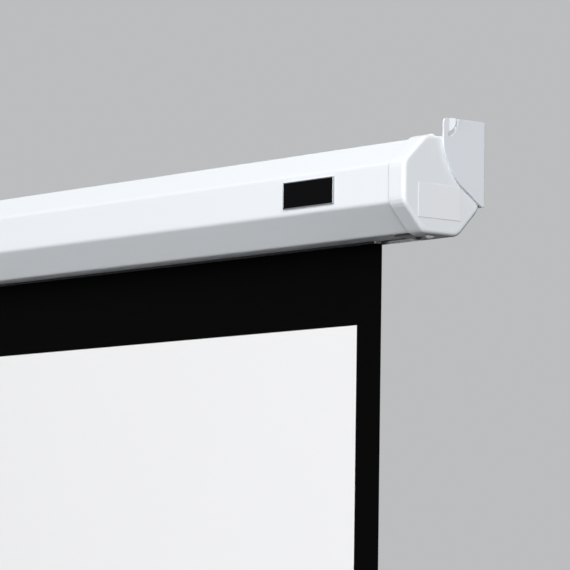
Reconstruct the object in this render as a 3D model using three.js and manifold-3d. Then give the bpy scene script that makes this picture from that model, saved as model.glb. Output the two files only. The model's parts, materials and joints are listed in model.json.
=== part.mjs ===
// A manual pull-down projector screen, drawn all the way down, in millimetres with +Z up.
// X runs along the casing, the picture faces -Y, the wall is the plane Y = 0 and Z = 0 is the
// height of the wall screws. The pieces are laid out from the casing's own corner instead, with
// Y = 0 at the end caps' front and Z = 0 at their underside, and the whole is moved at the end.
import * as THREE from 'three';
import { mergeVertices } from 'three/addons/utils/BufferGeometryUtils.js';
import Module from 'manifold-3d';

const wasm = await Module();
wasm.setup();

// Picture and sheet
const viewWidth = 1860;
const viewHeight = 1046;
const sideBorder = 30;
const topBorder = 65; // black, from the end caps' underside to the picture
const bottomBorder = 30;
const fabricThickness = 0.5;
const fabricToCapFace = 84; // from the sheet's side edge to the end cap's outer face

// End caps and casing, an upright octagon
const capHeight = 80;
const capDepth = 82;
const slantShare = 0.28; // of the depth, and the fabric's place and the roller's radius too
const fabricPlaneShare = 0.615;
const rollerShare = 0.232;
const upperSlantDrop = 22.5;
const lowerSlantRise = 24;
const capCornerReach = 5;
const capEdgeRound = 3.2; // round the end face
const capRimRound = 0.8; // round the rim that laps the casing
const capWall = 1.7;
const capEndWall = 2.5;
const capLength = 19;
const casingWall = 1.2;
const casingBendReach = 2;

// Slot along the casing's underside, its guard in front and its rail behind
const slotEndMargin = 39; // from the cap's outer face to the end of the slot
const slotFrontGap = 4.4; // from the fabric to the slot's front edge
const slotRearGap = 6.6;
const guardWall = 1.2;
const guardLegLength = 4;
const guardEndLength = 2;
const guardEndLip = 0.4;
const railDepth = 2;
const railHeight = 2.8;
const railDrop = 1.8; // how far the rail stands below the casing
const railGroove = 0.5;
const endPlateThickness = 1.4;
const endPlateMargin = 2;
const endPlateScrewY = 42;

// Wall brackets
const bracketThickness = 2;
const bracketTop = 95;
const bracketBottom = 26;
const bracketFrontY = 40;
const bracketWaistZ = 69;
const bracketKneeY = 53.5;
const bracketKneeZ = 45.5;
const bracketCornerReach = 4;
const bracketSweepReach = 7;
const bracketFlangeWidth = 32;
const tabRadius = 10.2; // of the tab's free edge, at the bracket's top front corner
const tabInset = 2; // from the bracket's top and front edges to the centre of that radius
const tabSlit = 3.4;
const tabBend = 4; // from that centre back to the line where the tab leaves the bracket
const tabLift = 2.2; // how far the tab's free edge stands proud
const wallSlotDrop = 10; // from the bracket's top edge to the wall screws
const wallSlotWidth = 6;
const wallSlotLength = 12;
const wallSlotSpacing = 13;
const wallSlotInset = 7; // from the flange's free edge to the first slot

// Screws
const driverSlot = 0.9;
const bracketScrewRadius = 2;
const bracketScrewHead = 4;
const bracketScrewInset = 14; // from the cap's outer face
const bracketScrewSpacing = 16;
const capScrewRadius = 1.9;
const capScrewHead = 3.6;
const capScrewHeadHeight = 2.2;
const capScrewLength = 6;
const capScrewInset = 9;
const capTopScrewY = 36;
const capBottomScrewY = 36;
const smallScrewRadius = 1.4;
const smallScrewHead = 2.6;
const smallScrewHeadHeight = 1.6;
const smallScrewLength = 5;

// Roller, its holders, and the spring and catch at its left end
const rollerWall = 1.2;
const wrapThickness = 1.1; // the turns of black leader that stay on the roller
const rollerEndPlay = 2;
const holderThickness = 2;
const holderHeight = 25;
const holderFrontY = 8;
const holderFlangeLength = 20;
const holderFlangeThickness = 1.5;
const plugLength = 16;
const plugFlange = 2;
const gudgeonRadius = 5;
const gudgeonLength = 18;
const bushWall = 3;
const bushFlange = 1;
const bushFlangeLip = 1.5;
const spindleRadius = 4;
const tangThickness = 4;
const tangWidth = 7;
const plugRecess = 7; // how far the left plug sits inside the tube, which leaves room for the pawls
const ratchetRadius = 7.5;
const ratchetLength = 4;
const ratchetSetback = 1.5; // from the roller's end to the ratchet wheel
const notchDepth = 2.5;
const notchWidth = 4.8;
const pawlAcrossShare = 0.447; // of the roller's radius, from its axis to the pawl's pivot
const pawlUpShare = 0.552;
const pawlArm = 2.4;
const pawlTooth = 1.3; // how far the tooth reaches in from the arm
const pawlThickness = 3;
const pawlPinRadius = 1.1;
const pawlPinDepth = 4;
const pawlPinHead = 1.9;
const pawlPinHeadLength = 0.8;
const springTurns = 24;
const springPitch = 6;
const springWireRadius = 1.1;
const springRadius = 10.5;
const anchorLength = 10;
const anchorRadius = 13;
const guideLength = 8;

// Bottom bar
const barDepth = 18;
const barHeight = 24;
const barCornerReach = 4;
const barWall = 1.6;
const barOverhang = 12; // past the sheet's side edge
const barMouth = 2.4;
const hemRodRadius = 3;
const barCapLength = 3;
const barPlugLength = 9;
const padHeight = 3;
const padLength = 8;
const padDepth = 12;
const padReach = 1;

// Pull handle
const mountLength = 64;
const mountDepth = 14;
const mountThickness = 2;
const mountScrewInset = 5;
const earThickness = 3;
const earSpan = 33; // clear width between the ears
const earRadius = 4.5;
const pivotDrop = 8; // from the mount's underside to the pin
const handlePinRadius = 2;
const pinHeadRadius = 3.2;
const pinHeadLength = 1.4;
const handleWidth = 96;
const handleHeight = 52;
const handleThickness = 8;
const handleNeckWidth = 30;
const handleNeckDrop = 7;
const handleShoulderDrop = 34;
const handleFrame = 9;
const handleHoleDrop = 13;
const handleBarrelRadius = 5;
const handleReach = 8;
const handleHoleReach = 5;
const handleEdgeRound = 1.6;

// Plate on the casing's front and sticker on the right cap, both bare
const nameplateWidth = 64;
const nameplateHeight = 22.3;
const nameplateThickness = 1.3;
const nameplateRim = 0.7;
const nameplateRimHeight = 1.6;
const nameplateFromCapFace = 88;
const nameplateBottom = 29.5;
const stickerWidth = 44.5;
const stickerHeight = 27.3;
const stickerThickness = 0.25;
const stickerFrontY = 15.5;
const stickerBottom = 13;

// Clearances, the length by which a cutter passes what it cuts, and the fineness of round forms
const seatGap = 0.3;
const glueGap = 0.1;
const runningGap = 0.3;
const overrun = 3;
const roundSegments = 28;
const bendSegments = 3;
const edgeSegments = 4;
const screwSegments = 12;
const springSides = 5;
const springSteps = 8; // in each turn

// Sizes that follow from the ones above
const fabricHalf = viewWidth / 2 + sideBorder;
const capFaceX = fabricHalf + fabricToCapFace;
const slantSetback = capDepth * slantShare;
const fabricPlaneY = capDepth * fabricPlaneShare;
const slotFrontY = fabricPlaneY - slotFrontGap;
const slotRearY = fabricPlaneY + slotRearGap;
const casingInset = capWall + seatGap;
const casingHalf = capFaceX - capEndWall - seatGap;
const casingRearY = capDepth - casingInset;
const slotHalf = capFaceX - slotEndMargin;
const wallPlaneY = capDepth + seatGap + bracketThickness;
const wallScrewZ = bracketTop - wallSlotDrop;
const rollerRadius = capDepth * rollerShare;
const pawlPivotY = rollerRadius * pawlAcrossShare;
const pawlPivotZ = rollerRadius * pawlUpShare;
const wrapInner = rollerRadius + seatGap;
const wrapOuter = wrapInner + wrapThickness;
const axisY = fabricPlaneY - fabricThickness / 2 - seatGap - wrapOuter;
const axisZ = capHeight / 2;
const holderDepth = capEndWall + seatGap + holderThickness;
const rollerDepth = holderDepth + rollerEndPlay;
const plugRadius = rollerRadius - rollerWall - seatGap;
const leftPlugDepth = rollerDepth + plugRecess;
const springStart = leftPlugDepth + plugLength + seatGap + springWireRadius;
const springLength = springTurns * springPitch;
const anchorDepth = springStart + springLength + springWireRadius + seatGap;
const guideDepth = anchorDepth + anchorLength + seatGap;
const barTop = -topBorder - viewHeight - bottomBorder;
const barBottom = barTop - barHeight;
const barHalf = fabricHalf + barOverhang;
const hemInner = hemRodRadius + seatGap;
const hemOuter = hemInner + fabricThickness;
const hemZ = barTop - barWall - seatGap - hemOuter;
const mountBottom = barBottom - seatGap - mountThickness;
const pivotZ = mountBottom - pivotDrop;
const endPlateZ = casingInset - seatGap - endPlateThickness;
const endPlateMiddle = -(capLength + seatGap + slotEndMargin) / 2;

// Materials
const finish = (color, roughness, metalness = 0) =>
  new THREE.MeshStandardMaterial({ color, roughness, metalness });
const whiteEnamel = finish(0xf4f6f8, 0.3);
const whiteBracket = finish(0xdde1e6, 0.4);
const zincSteel = finish(0xb9bcc0, 0.35, 0.9);
const brightRail = finish(0xc9cbce, 0.25, 0.9);
const darkPlastic = finish(0x2a2b2d, 0.55);
const blackGloss = finish(0x0a0a0b, 0.2);
const silverRim = finish(0xc2c4c8, 0.2, 1);
const blackSteel = finish(0x1b1c1e, 0.45, 0.6);
const paper = finish(0xe9ebee, 0.7);
const screenCloth = finish(0xececee, 0.85);
const blackCloth = finish(0x0b0b0c, 0.85);
const nylon = finish(0xe8e6de, 0.5);
const springSteel = finish(0x55585c, 0.4, 0.9);
const blackBar = finish(0x16171a, 0.45, 0.3);
const rubber = finish(0x17171a, 0.9);

// Closed geometries joined and cut as solids
function toSolid(geometry) {
  const bare = geometry.clone();
  bare.deleteAttribute('normal');
  bare.deleteAttribute('uv');
  const merged = mergeVertices(bare);
  return new wasm.Manifold(new wasm.Mesh({
    numProp: 3,
    vertProperties: new Float32Array(merged.attributes.position.array),
    triVerts: new Uint32Array(merged.index.array),
  }));
}

function toGeometry(solid) {
  const { vertProperties, triVerts } = solid.getMesh();
  const geometry = new THREE.BufferGeometry();
  geometry.setAttribute('position', new THREE.BufferAttribute(vertProperties, 3));
  geometry.setIndex(new THREE.BufferAttribute(triVerts, 1));
  geometry.computeVertexNormals();
  return geometry;
}

const cut = (base, ...tools) =>
  toGeometry(tools.reduce((solid, tool) => solid.subtract(toSolid(tool)), toSolid(base)));
const join = (base, ...others) =>
  toGeometry(others.reduce((solid, other) => solid.add(toSolid(other)), toSolid(base)));
const common = (base, other) => toGeometry(toSolid(base).intersect(toSolid(other)));

// A box between two corners
function box(x0, x1, y0, y1, z0, z1) {
  return new THREE.BoxGeometry(x1 - x0, y1 - y0, z1 - z0)
    .translate((x0 + x1) / 2, (y0 + y1) / 2, (z0 + z1) / 2);
}

// Round rods along each axis, with a second radius where they taper
function rodX(radius, x0, x1, y, z, segments = roundSegments) {
  return new THREE.CylinderGeometry(radius, radius, x1 - x0, segments)
    .rotateZ(-Math.PI / 2).translate((x0 + x1) / 2, y, z);
}

function rodY(radius, y0, y1, x, z, endRadius = radius) {
  return new THREE.CylinderGeometry(endRadius, radius, y1 - y0, roundSegments)
    .translate(x, (y0 + y1) / 2, z);
}

function rodZ(radius, z0, z1, x, y) {
  return new THREE.CylinderGeometry(radius, radius, z1 - z0, roundSegments)
    .rotateX(Math.PI / 2).translate(x, y, (z0 + z1) / 2);
}

const point = (a, b) => new THREE.Vector2(a, b);
const rectangle = (a0, a1, b0, b1) =>
  [point(a0, b0), point(a1, b0), point(a1, b1), point(a0, b1)];

// A shape from corner points listed anticlockwise. Each corner is rounded from a reach on either
// side of it, one reach for all or one for each, and never past the middle of a side.
function rounded(corners, reaches) {
  const shape = new THREE.Shape();
  corners.forEach((corner, i) => {
    const reach = Array.isArray(reaches) ? reaches[i] : reaches;
    const [arrive, leave] = [corners.length - 1, 1].map((step) => {
      const other = corners[(i + step) % corners.length];
      const side = corner.distanceTo(other);
      return corner.clone().lerp(other, Math.min(reach, side / 2) / side);
    });
    if (i === 0) shape.moveTo(arrive.x, arrive.y);
    else shape.lineTo(arrive.x, arrive.y);
    shape.quadraticCurveTo(corner.x, corner.y, leave.x, leave.y);
  });
  shape.closePath();
  return shape;
}

// Every side of an outline, listed anticlockwise, moved inwards
function inset(corners, distance) {
  return corners.map((corner, i) => {
    const before = corners[(i + corners.length - 1) % corners.length];
    const after = corners[(i + 1) % corners.length];
    const sides = [corner.clone().sub(before), after.clone().sub(corner)];
    const [first, second] = sides.map((side) => point(-side.y, side.x).normalize());
    const share = 1 / (1 + first.dot(second));
    return corner.clone().addScaledVector(first.add(second), distance * share);
  });
}

// Prisms along X of a shape drawn in (Y, Z), and along Y of one drawn in (X, Z)
function prism(shape, length, edgeRound) {
  return new THREE.ExtrudeGeometry(shape, {
    depth: length - 2 * edgeRound,
    curveSegments: bendSegments,
    bevelEnabled: edgeRound > 0,
    bevelThickness: edgeRound,
    bevelSize: edgeRound,
    bevelOffset: -edgeRound,
    bevelSegments: edgeSegments,
  }).translate(0, 0, edgeRound);
}

function prismX(shape, x0, x1, edgeRound = 0) {
  const turn = new THREE.Matrix4().makeBasis(
    new THREE.Vector3(0, 1, 0), new THREE.Vector3(0, 0, 1), new THREE.Vector3(1, 0, 0));
  return prism(shape, x1 - x0, edgeRound).applyMatrix4(turn).translate(x0, 0, 0);
}

function prismY(shape, y0, y1, edgeRound = 0) {
  return prism(shape, y1 - y0, edgeRound).rotateX(Math.PI / 2).translate(0, y1, 0);
}

// The end caps' octagon in (Y, Z), from the front of its underside
const capOutline = [
  point(slantSetback, 0),
  point(capDepth - slantSetback, 0),
  point(capDepth, lowerSlantRise),
  point(capDepth, capHeight - upperSlantDrop),
  point(capDepth - slantSetback, capHeight),
  point(slantSetback, capHeight),
  point(0, capHeight - upperSlantDrop),
  point(0, lowerSlantRise),
];
const casingOutline = inset(capOutline, casingInset);

// Screws. A domed one has its seat at Z = 0 and its shank below.
const domeShares = [[1, 0.35], [0.88, 0.7], [0.55, 0.93], [0, 1]];

function domedScrew(radius, length, headRadius, headHeight) {
  const profile = [point(0, -length), point(radius, -length), point(radius, 0),
    point(headRadius, 0)];
  domeShares.forEach(([out, up]) => profile.push(point(headRadius * out, headHeight * up)));
  const screw = new THREE.LatheGeometry(profile, screwSegments).rotateX(Math.PI / 2);
  return cut(screw, box(-headRadius, headRadius, -driverSlot / 2, driverSlot / 2,
    headHeight - driverSlot, headHeight + overrun));
}

// A flat-headed one has its head's face at Y = 0 and its shank on the -Y side
function flatScrew(length) {
  const taper = bracketScrewHead - bracketScrewRadius;
  const profile = [point(0, -length), point(bracketScrewRadius, -length),
    point(bracketScrewRadius, -taper), point(bracketScrewHead, 0), point(0, 0)];
  const screw = new THREE.LatheGeometry(profile, screwSegments);
  return cut(screw, box(-bracketScrewHead, bracketScrewHead, -driverSlot, overrun,
    -driverSlot / 2, driverSlot / 2));
}

// Cutters for the screws' holes at an X
const capScrewHoles = (x) => [
  rodZ(capScrewRadius + seatGap, axisZ, capHeight + overrun, x, capTopScrewY),
  rodZ(capScrewRadius + seatGap, -overrun, axisZ, x, capBottomScrewY),
];
const bracketScrewZs = [-1, 1].map((side) => axisZ + (side * bracketScrewSpacing) / 2);
const bracketScrewHoles = (x) => bracketScrewZs.map((z) =>
  rodY(bracketScrewRadius + seatGap, capDepth / 2, wallPlaneY + overrun, x, z));
const endPlateScrewHole = (x) =>
  rodZ(smallScrewRadius + seatGap, -overrun, axisZ / 2, x, endPlateScrewY);

function casing() {
  const bore = inset(casingOutline, casingWall);
  const holes = [-1, 1].flatMap((side) => [
    ...capScrewHoles(side * (capFaceX - capScrewInset)),
    ...bracketScrewHoles(side * (capFaceX - bracketScrewInset)),
    endPlateScrewHole(side * (capFaceX + endPlateMiddle)),
  ]);
  return cut(
    prismX(rounded(casingOutline, casingBendReach), -casingHalf, casingHalf),
    prismX(rounded(bore, casingBendReach), -casingHalf - overrun, casingHalf + overrun),
    box(-slotHalf, slotHalf, slotFrontY, slotRearY, -overrun, casingInset + overrun),
    ...holes);
}

// A channel that hugs the slot's front lip and keeps the sheet off the cut edge
function guardSection(lip) {
  const lipTop = casingInset + casingWall;
  const rear = slotFrontY + seatGap + guardWall + lip;
  const front = slotFrontY - guardLegLength;
  const low = casingInset - seatGap - guardWall - lip;
  const high = lipTop + seatGap + guardWall + lip;
  return [
    point(front, low), point(rear, low), point(rear, high), point(front, high),
    point(front, lipTop + seatGap), point(slotFrontY + seatGap, lipTop + seatGap),
    point(slotFrontY + seatGap, casingInset - seatGap), point(front, casingInset - seatGap),
  ];
}

function slotGuard() {
  return prismX(new THREE.Shape(guardSection(0)), -fabricHalf, fabricHalf);
}

function guardEnd(side) {
  const inner = side * (fabricHalf + seatGap);
  const outer = side * (fabricHalf + seatGap + guardEndLength);
  return prismX(new THREE.Shape(guardSection(guardEndLip)),
    Math.min(inner, outer), Math.max(inner, outer));
}

// A bright strip along the slot's rear lip, grooved along its front
function slotRail() {
  const rear = slotRearY - seatGap;
  const front = rear - railDepth;
  const low = casingInset - railDrop;
  const high = low + railHeight;
  const middle = (low + high) / 2;
  const section = [point(front, low), point(rear, low), point(rear, high), point(front, high),
    point(front, middle + railGroove), point(front + railGroove, middle),
    point(front, middle - railGroove)];
  return prismX(new THREE.Shape(section), -slotHalf + seatGap, slotHalf - seatGap);
}

// Pieces of one end, with X = 0 at the cap's outer face and -X inwards
function endCap() {
  const outline = rounded(capOutline, capCornerReach);
  const rimRounded = prismX(outline, -capLength, capRimRound + overrun, capRimRound);
  const faceRounded = prismX(outline, -capLength - capEdgeRound - overrun, 0, capEdgeRound);
  return cut(
    common(rimRounded, faceRounded),
    prismX(rounded(inset(capOutline, capWall), casingBendReach),
      -capLength - overrun, -capEndWall),
    ...capScrewHoles(-capScrewInset), ...bracketScrewHoles(-bracketScrewInset));
}

// Closes the casing's underside between the cap and the slot
function slotEndPlate() {
  return cut(
    box(-slotEndMargin, -capLength - seatGap, slantSetback + endPlateMargin,
      capDepth - slantSetback - endPlateMargin, endPlateZ, endPlateZ + endPlateThickness),
    endPlateScrewHole(endPlateMiddle));
}

// A steel angle inside the cap that carries the roller and takes the bracket's screws
function rollerHolder(opening) {
  const rear = casingRearY - casingWall - seatGap;
  const outer = -capEndWall - seatGap;
  const low = axisZ - holderHeight / 2;
  const high = axisZ + holderHeight / 2;
  const angle = join(
    box(-holderDepth, outer, holderFrontY, rear, low, high),
    box(-holderDepth - holderFlangeLength, outer, rear - holderFlangeThickness, rear, low, high));
  return cut(angle, opening, ...bracketScrewHoles(-bracketScrewInset));
}

const tabCentreY = bracketFrontY + tabInset;
const tabCentreZ = bracketTop - tabInset;
const tabBendY = tabCentreY + tabBend;

// What lies behind the tab's bend line and within a radius, at the bracket's top front corner
const tabSector = (radius, x0, x1, top) => common(
  rodX(radius, x0, x1, tabCentreY, tabCentreZ),
  box(x0, x1, tabBendY, wallPlaneY, bracketBottom, top));

// A curved slit frees a tab, which is bent outwards
function bracketTab(inner, outer) {
  const tilt = Math.asin(tabLift / (tabRadius - tabBend));
  return tabSector(tabRadius, inner, outer, bracketTop)
    .translate(-inner, -tabBendY, 0).rotateZ(-tilt).translate(inner, tabBendY, 0);
}

// The room for the tab and its slit, which ends in a round hole below the bend line
function tabCutter(x0, x1) {
  const middle = tabRadius + tabSlit / 2;
  return join(
    tabSector(tabRadius + tabSlit, x0, x1, bracketTop + overrun),
    rodX(tabSlit / 2, x0, x1, tabBendY, tabCentreZ - Math.sqrt(middle ** 2 - tabBend ** 2)));
}

function wallSlot(x) {
  const half = wallSlotWidth / 2;
  const reach = wallSlotLength / 2 - half;
  return join(
    rodY(half, capDepth, wallPlaneY + overrun, x, wallScrewZ - reach),
    rodY(half, capDepth, wallPlaneY + overrun, x, wallScrewZ + reach),
    box(x - half, x + half, capDepth, wallPlaneY + overrun,
      wallScrewZ - reach, wallScrewZ + reach));
}

function wallBracket() {
  const inner = seatGap;
  const outer = seatGap + bracketThickness;
  const outline = [
    point(capDepth, bracketBottom), point(wallPlaneY, bracketBottom),
    point(wallPlaneY, bracketTop), point(bracketFrontY, bracketTop),
    point(bracketFrontY, bracketWaistZ), point(bracketKneeY, bracketKneeZ),
  ];
  const reaches = [0, 0, 0, bracketCornerReach, bracketSweepReach, bracketSweepReach];
  const sinks = bracketScrewZs.map((z) => rodY(
    bracketScrewRadius + seatGap, wallPlaneY - bracketThickness, wallPlaneY,
    -bracketScrewInset, z, bracketScrewHead + seatGap));
  const slots = [0, 1].map((i) =>
    wallSlot(-bracketFlangeWidth + wallSlotInset + i * wallSlotSpacing));
  const plate = cut(prismX(rounded(outline, reaches), inner, outer),
    tabCutter(0, outer + overrun));
  const flange = box(-bracketFlangeWidth, outer, wallPlaneY - bracketThickness, wallPlaneY,
    bracketBottom, bracketTop);
  return cut(join(plate, bracketTab(inner, outer), flange),
    ...bracketScrewHoles(-bracketScrewInset), ...sinks, ...slots);
}

function bracketScrew(z) {
  const reach = wallPlaneY - (casingRearY - casingWall - seatGap - holderFlangeThickness);
  return flatScrew(reach).translate(-bracketScrewInset, wallPlaneY, z);
}

const capScrew = () =>
  domedScrew(capScrewRadius, capScrewLength, capScrewHead, capScrewHeadHeight);
const smallScrew = () =>
  domedScrew(smallScrewRadius, smallScrewLength, smallScrewHead, smallScrewHeadHeight);
const topCapScrew = () =>
  capScrew().translate(-capScrewInset, capTopScrewY, capHeight + glueGap);
const bottomCapScrew = () =>
  capScrew().rotateX(Math.PI).translate(-capScrewInset, capBottomScrewY, -glueGap);
const endPlateScrew = () => smallScrew().rotateX(Math.PI)
  .translate(endPlateMiddle, endPlateScrewY, endPlateZ - glueGap);

// Right end of the roller: a pin that turns in a bush
const bushRadius = gudgeonRadius + runningGap + bushWall;
const bushHole = () =>
  rodX(bushRadius + seatGap, -holderDepth - overrun, 0, axisY, axisZ);

function gudgeonBush() {
  const outer = -capEndWall - 2 * seatGap;
  const flangeStart = -holderDepth - seatGap;
  return cut(
    join(
      rodX(bushRadius, flangeStart - bushFlange, outer, axisY, axisZ),
      rodX(bushRadius + bushFlangeLip, flangeStart - bushFlange, flangeStart, axisY, axisZ)),
    rodX(gudgeonRadius + runningGap, -rollerDepth - overrun, 0, axisY, axisZ));
}

function gudgeonPin() {
  const outer = -capEndWall - 2 * seatGap;
  return rodX(gudgeonRadius, outer - gudgeonLength, outer, axisY, axisZ);
}

function rightPlug() {
  return cut(
    join(
      rodX(plugRadius, -rollerDepth - plugLength, -rollerDepth, axisY, axisZ),
      rodX(rollerRadius, -rollerDepth - plugFlange, -rollerDepth, axisY, axisZ)),
    rodX(gudgeonRadius + seatGap, -rollerDepth - plugLength - overrun, 0, axisY, axisZ));
}

// Left end of the roller: a fixed spindle, the catch, and the spring that winds the sheet up
const tangHole = () => box(-holderDepth - overrun, 0,
  axisY - tangThickness / 2 - seatGap, axisY + tangThickness / 2 + seatGap,
  axisZ - tangWidth / 2 - seatGap, axisZ + tangWidth / 2 + seatGap);

function spindle() {
  return join(
    rodX(spindleRadius, -guideDepth - guideLength, -holderDepth - seatGap, axisY, axisZ),
    box(-holderDepth - overrun, -capEndWall - 2 * seatGap,
      axisY - tangThickness / 2, axisY + tangThickness / 2,
      axisZ - tangWidth / 2, axisZ + tangWidth / 2));
}

// A round piece threaded on the spindle
function collar(radius, depth, length, bore) {
  return cut(
    rodX(radius, -depth - length, -depth, axisY, axisZ),
    rodX(bore, -depth - length - overrun, -depth + overrun, axisY, axisZ));
}

function ratchetWheel() {
  const depth = rollerDepth + ratchetSetback;
  const wheel = collar(ratchetRadius, depth, ratchetLength, spindleRadius + seatGap);
  const notches = [-1, 1].map((side) => {
    const root = side * (ratchetRadius - notchDepth);
    const tip = side * (ratchetRadius + overrun);
    return box(-depth - ratchetLength - overrun, -depth + overrun,
      axisY - notchWidth / 2, axisY + notchWidth / 2,
      axisZ + Math.min(root, tip), axisZ + Math.max(root, tip));
  });
  return cut(wheel, ...notches);
}

function leftPlug() {
  const plug = collar(plugRadius, leftPlugDepth, plugLength, spindleRadius + runningGap);
  return cut(plug, ...[0, 1].map((turn) => aboutAxis(turn,
    rodX(pawlPinRadius + seatGap, -leftPlugDepth - pawlPinDepth - seatGap,
      -leftPlugDepth + overrun, pawlPivotY, pawlPivotZ, screwSegments))));
}

// A piece drawn round the roller's axis, the first as drawn and the second half a turn on
const aboutAxis = (turn, geometry) =>
  geometry.rotateX(turn * Math.PI).translate(0, axisY, axisZ);

function pawl(turn) {
  const inner = -leftPlugDepth + seatGap;
  const outer = inner + pawlThickness;
  const tooth = pawlArm / 2;
  return aboutAxis(turn, cut(
    join(
      rodX(pawlArm, inner, outer, pawlPivotY, pawlPivotZ, screwSegments),
      box(inner, outer, -tooth, pawlPivotY, pawlPivotZ - tooth, pawlPivotZ + tooth),
      box(inner, outer, -tooth, tooth, pawlPivotZ - tooth - pawlTooth, pawlPivotZ)),
    rodX(pawlPinRadius + runningGap, inner - overrun, outer + overrun,
      pawlPivotY, pawlPivotZ, screwSegments)));
}

function pawlPin(turn) {
  const headStart = -leftPlugDepth + seatGap + pawlThickness + seatGap;
  return aboutAxis(turn, join(
    rodX(pawlPinRadius, -leftPlugDepth - pawlPinDepth, headStart, pawlPivotY, pawlPivotZ,
      screwSegments),
    rodX(pawlPinHead, headStart, headStart + pawlPinHeadLength, pawlPivotY, pawlPivotZ,
      screwSegments)));
}

class SpringPath extends THREE.Curve {
  getPoint(share, target = new THREE.Vector3()) {
    const angle = share * springTurns * 2 * Math.PI;
    return target.set(-springStart - share * springLength,
      axisY + springRadius * Math.cos(angle), axisZ + springRadius * Math.sin(angle));
  }
}

function torsionSpring() {
  const wire = Array.from({ length: springSides }, (_, i) => {
    const angle = (i / springSides) * 2 * Math.PI;
    return point(springWireRadius * Math.cos(angle), springWireRadius * Math.sin(angle));
  });
  return new THREE.ExtrudeGeometry(new THREE.Shape(wire), {
    steps: springTurns * springSteps,
    extrudePath: new SpringPath(),
  });
}

// Roller tube, whose right end stands against its plug's flange
function rollerTube() {
  const right = capFaceX - rollerDepth - plugFlange - seatGap;
  const left = -capFaceX + rollerDepth;
  return cut(rodX(rollerRadius, left, right, axisY, axisZ),
    rodX(rollerRadius - rollerWall, left - overrun, right + overrun, axisY, axisZ));
}

const leaderWraps = () => cut(
  rodX(wrapOuter, -fabricHalf, fabricHalf, axisY, axisZ),
  rodX(wrapInner, -fabricHalf - overrun, fabricHalf + overrun, axisY, axisZ));

// The sheet, from where it leaves the roller to its hem
const screenFabric = () => box(-fabricHalf, fabricHalf,
  fabricPlaneY - fabricThickness / 2, fabricPlaneY + fabricThickness / 2,
  hemZ + hemOuter + glueGap, axisZ);

const fabricHem = () => cut(
  rodX(hemOuter, -fabricHalf, fabricHalf, fabricPlaneY, hemZ, screwSegments),
  rodX(hemInner, -fabricHalf - overrun, fabricHalf + overrun, fabricPlaneY, hemZ,
    screwSegments));

const hemRod = () =>
  rodX(hemRodRadius, -fabricHalf, fabricHalf, fabricPlaneY, hemZ, screwSegments);

// Bottom bar: a hollow section with a mouth along its top
const barOutline = rectangle(fabricPlaneY - barDepth / 2, fabricPlaneY + barDepth / 2,
  barBottom, barTop);
const barBore = inset(barOutline, barWall);
const mountScrewX = mountLength / 2 - mountScrewInset;

const mountScrewHole = (side) => rodZ(smallScrewRadius + seatGap, mountBottom - overrun,
  barBottom + barWall + overrun, side * mountScrewX, fabricPlaneY);

function weightBar() {
  return cut(
    prismX(rounded(barOutline, barCornerReach), -barHalf, barHalf),
    prismX(rounded(barBore, barCornerReach), -barHalf - overrun, barHalf + overrun),
    box(-barHalf - overrun, barHalf + overrun, fabricPlaneY - barMouth / 2,
      fabricPlaneY + barMouth / 2, barTop - barWall - overrun, barTop + overrun),
    ...[-1, 1].map(mountScrewHole));
}

function barCap() {
  const inner = barHalf + seatGap;
  return join(
    prismX(rounded(barOutline, barCornerReach), inner, inner + barCapLength),
    prismX(rounded(inset(barBore, seatGap), barCornerReach),
      barHalf - barPlugLength, inner + seatGap));
}

function stopPad() {
  const x = fabricHalf + barOverhang / 2;
  const profile = rounded(rectangle(fabricPlaneY - padDepth / 2, fabricPlaneY + padDepth / 2,
    barTop + glueGap, barTop + padHeight), padReach);
  return prismX(profile, x - padLength / 2, x + padLength / 2);
}

// Handle mount: a plate under the bar with two ears
function handleMount() {
  const ears = [-1, 1].map((side) => {
    const inner = side * (earSpan / 2);
    const outer = side * (earSpan / 2 + earThickness);
    const x0 = Math.min(inner, outer);
    const x1 = Math.max(inner, outer);
    return join(
      rodX(earRadius, x0, x1, fabricPlaneY, pivotZ),
      box(x0, x1, fabricPlaneY - earRadius, fabricPlaneY + earRadius,
        pivotZ, mountBottom + mountThickness / 2));
  });
  return cut(
    join(
      box(-mountLength / 2, mountLength / 2, fabricPlaneY - mountDepth / 2,
        fabricPlaneY + mountDepth / 2, mountBottom, mountBottom + mountThickness),
      ...ears),
    rodX(handlePinRadius + seatGap, -mountLength, mountLength, fabricPlaneY, pivotZ),
    ...[-1, 1].map(mountScrewHole));
}

const mountScrew = (side) => smallScrew().rotateX(Math.PI)
  .translate(side * mountScrewX, fabricPlaneY, mountBottom - glueGap);

function handlePin() {
  const half = earSpan / 2 + earThickness + seatGap;
  return join(
    rodX(handlePinRadius, -half - pinHeadLength / 2, half + pinHeadLength / 2,
      fabricPlaneY, pivotZ),
    rodX(pinHeadRadius, -half - pinHeadLength, -half, fabricPlaneY, pivotZ),
    rodX(pinHeadRadius, half, half + pinHeadLength, fabricPlaneY, pivotZ));
}

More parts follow.
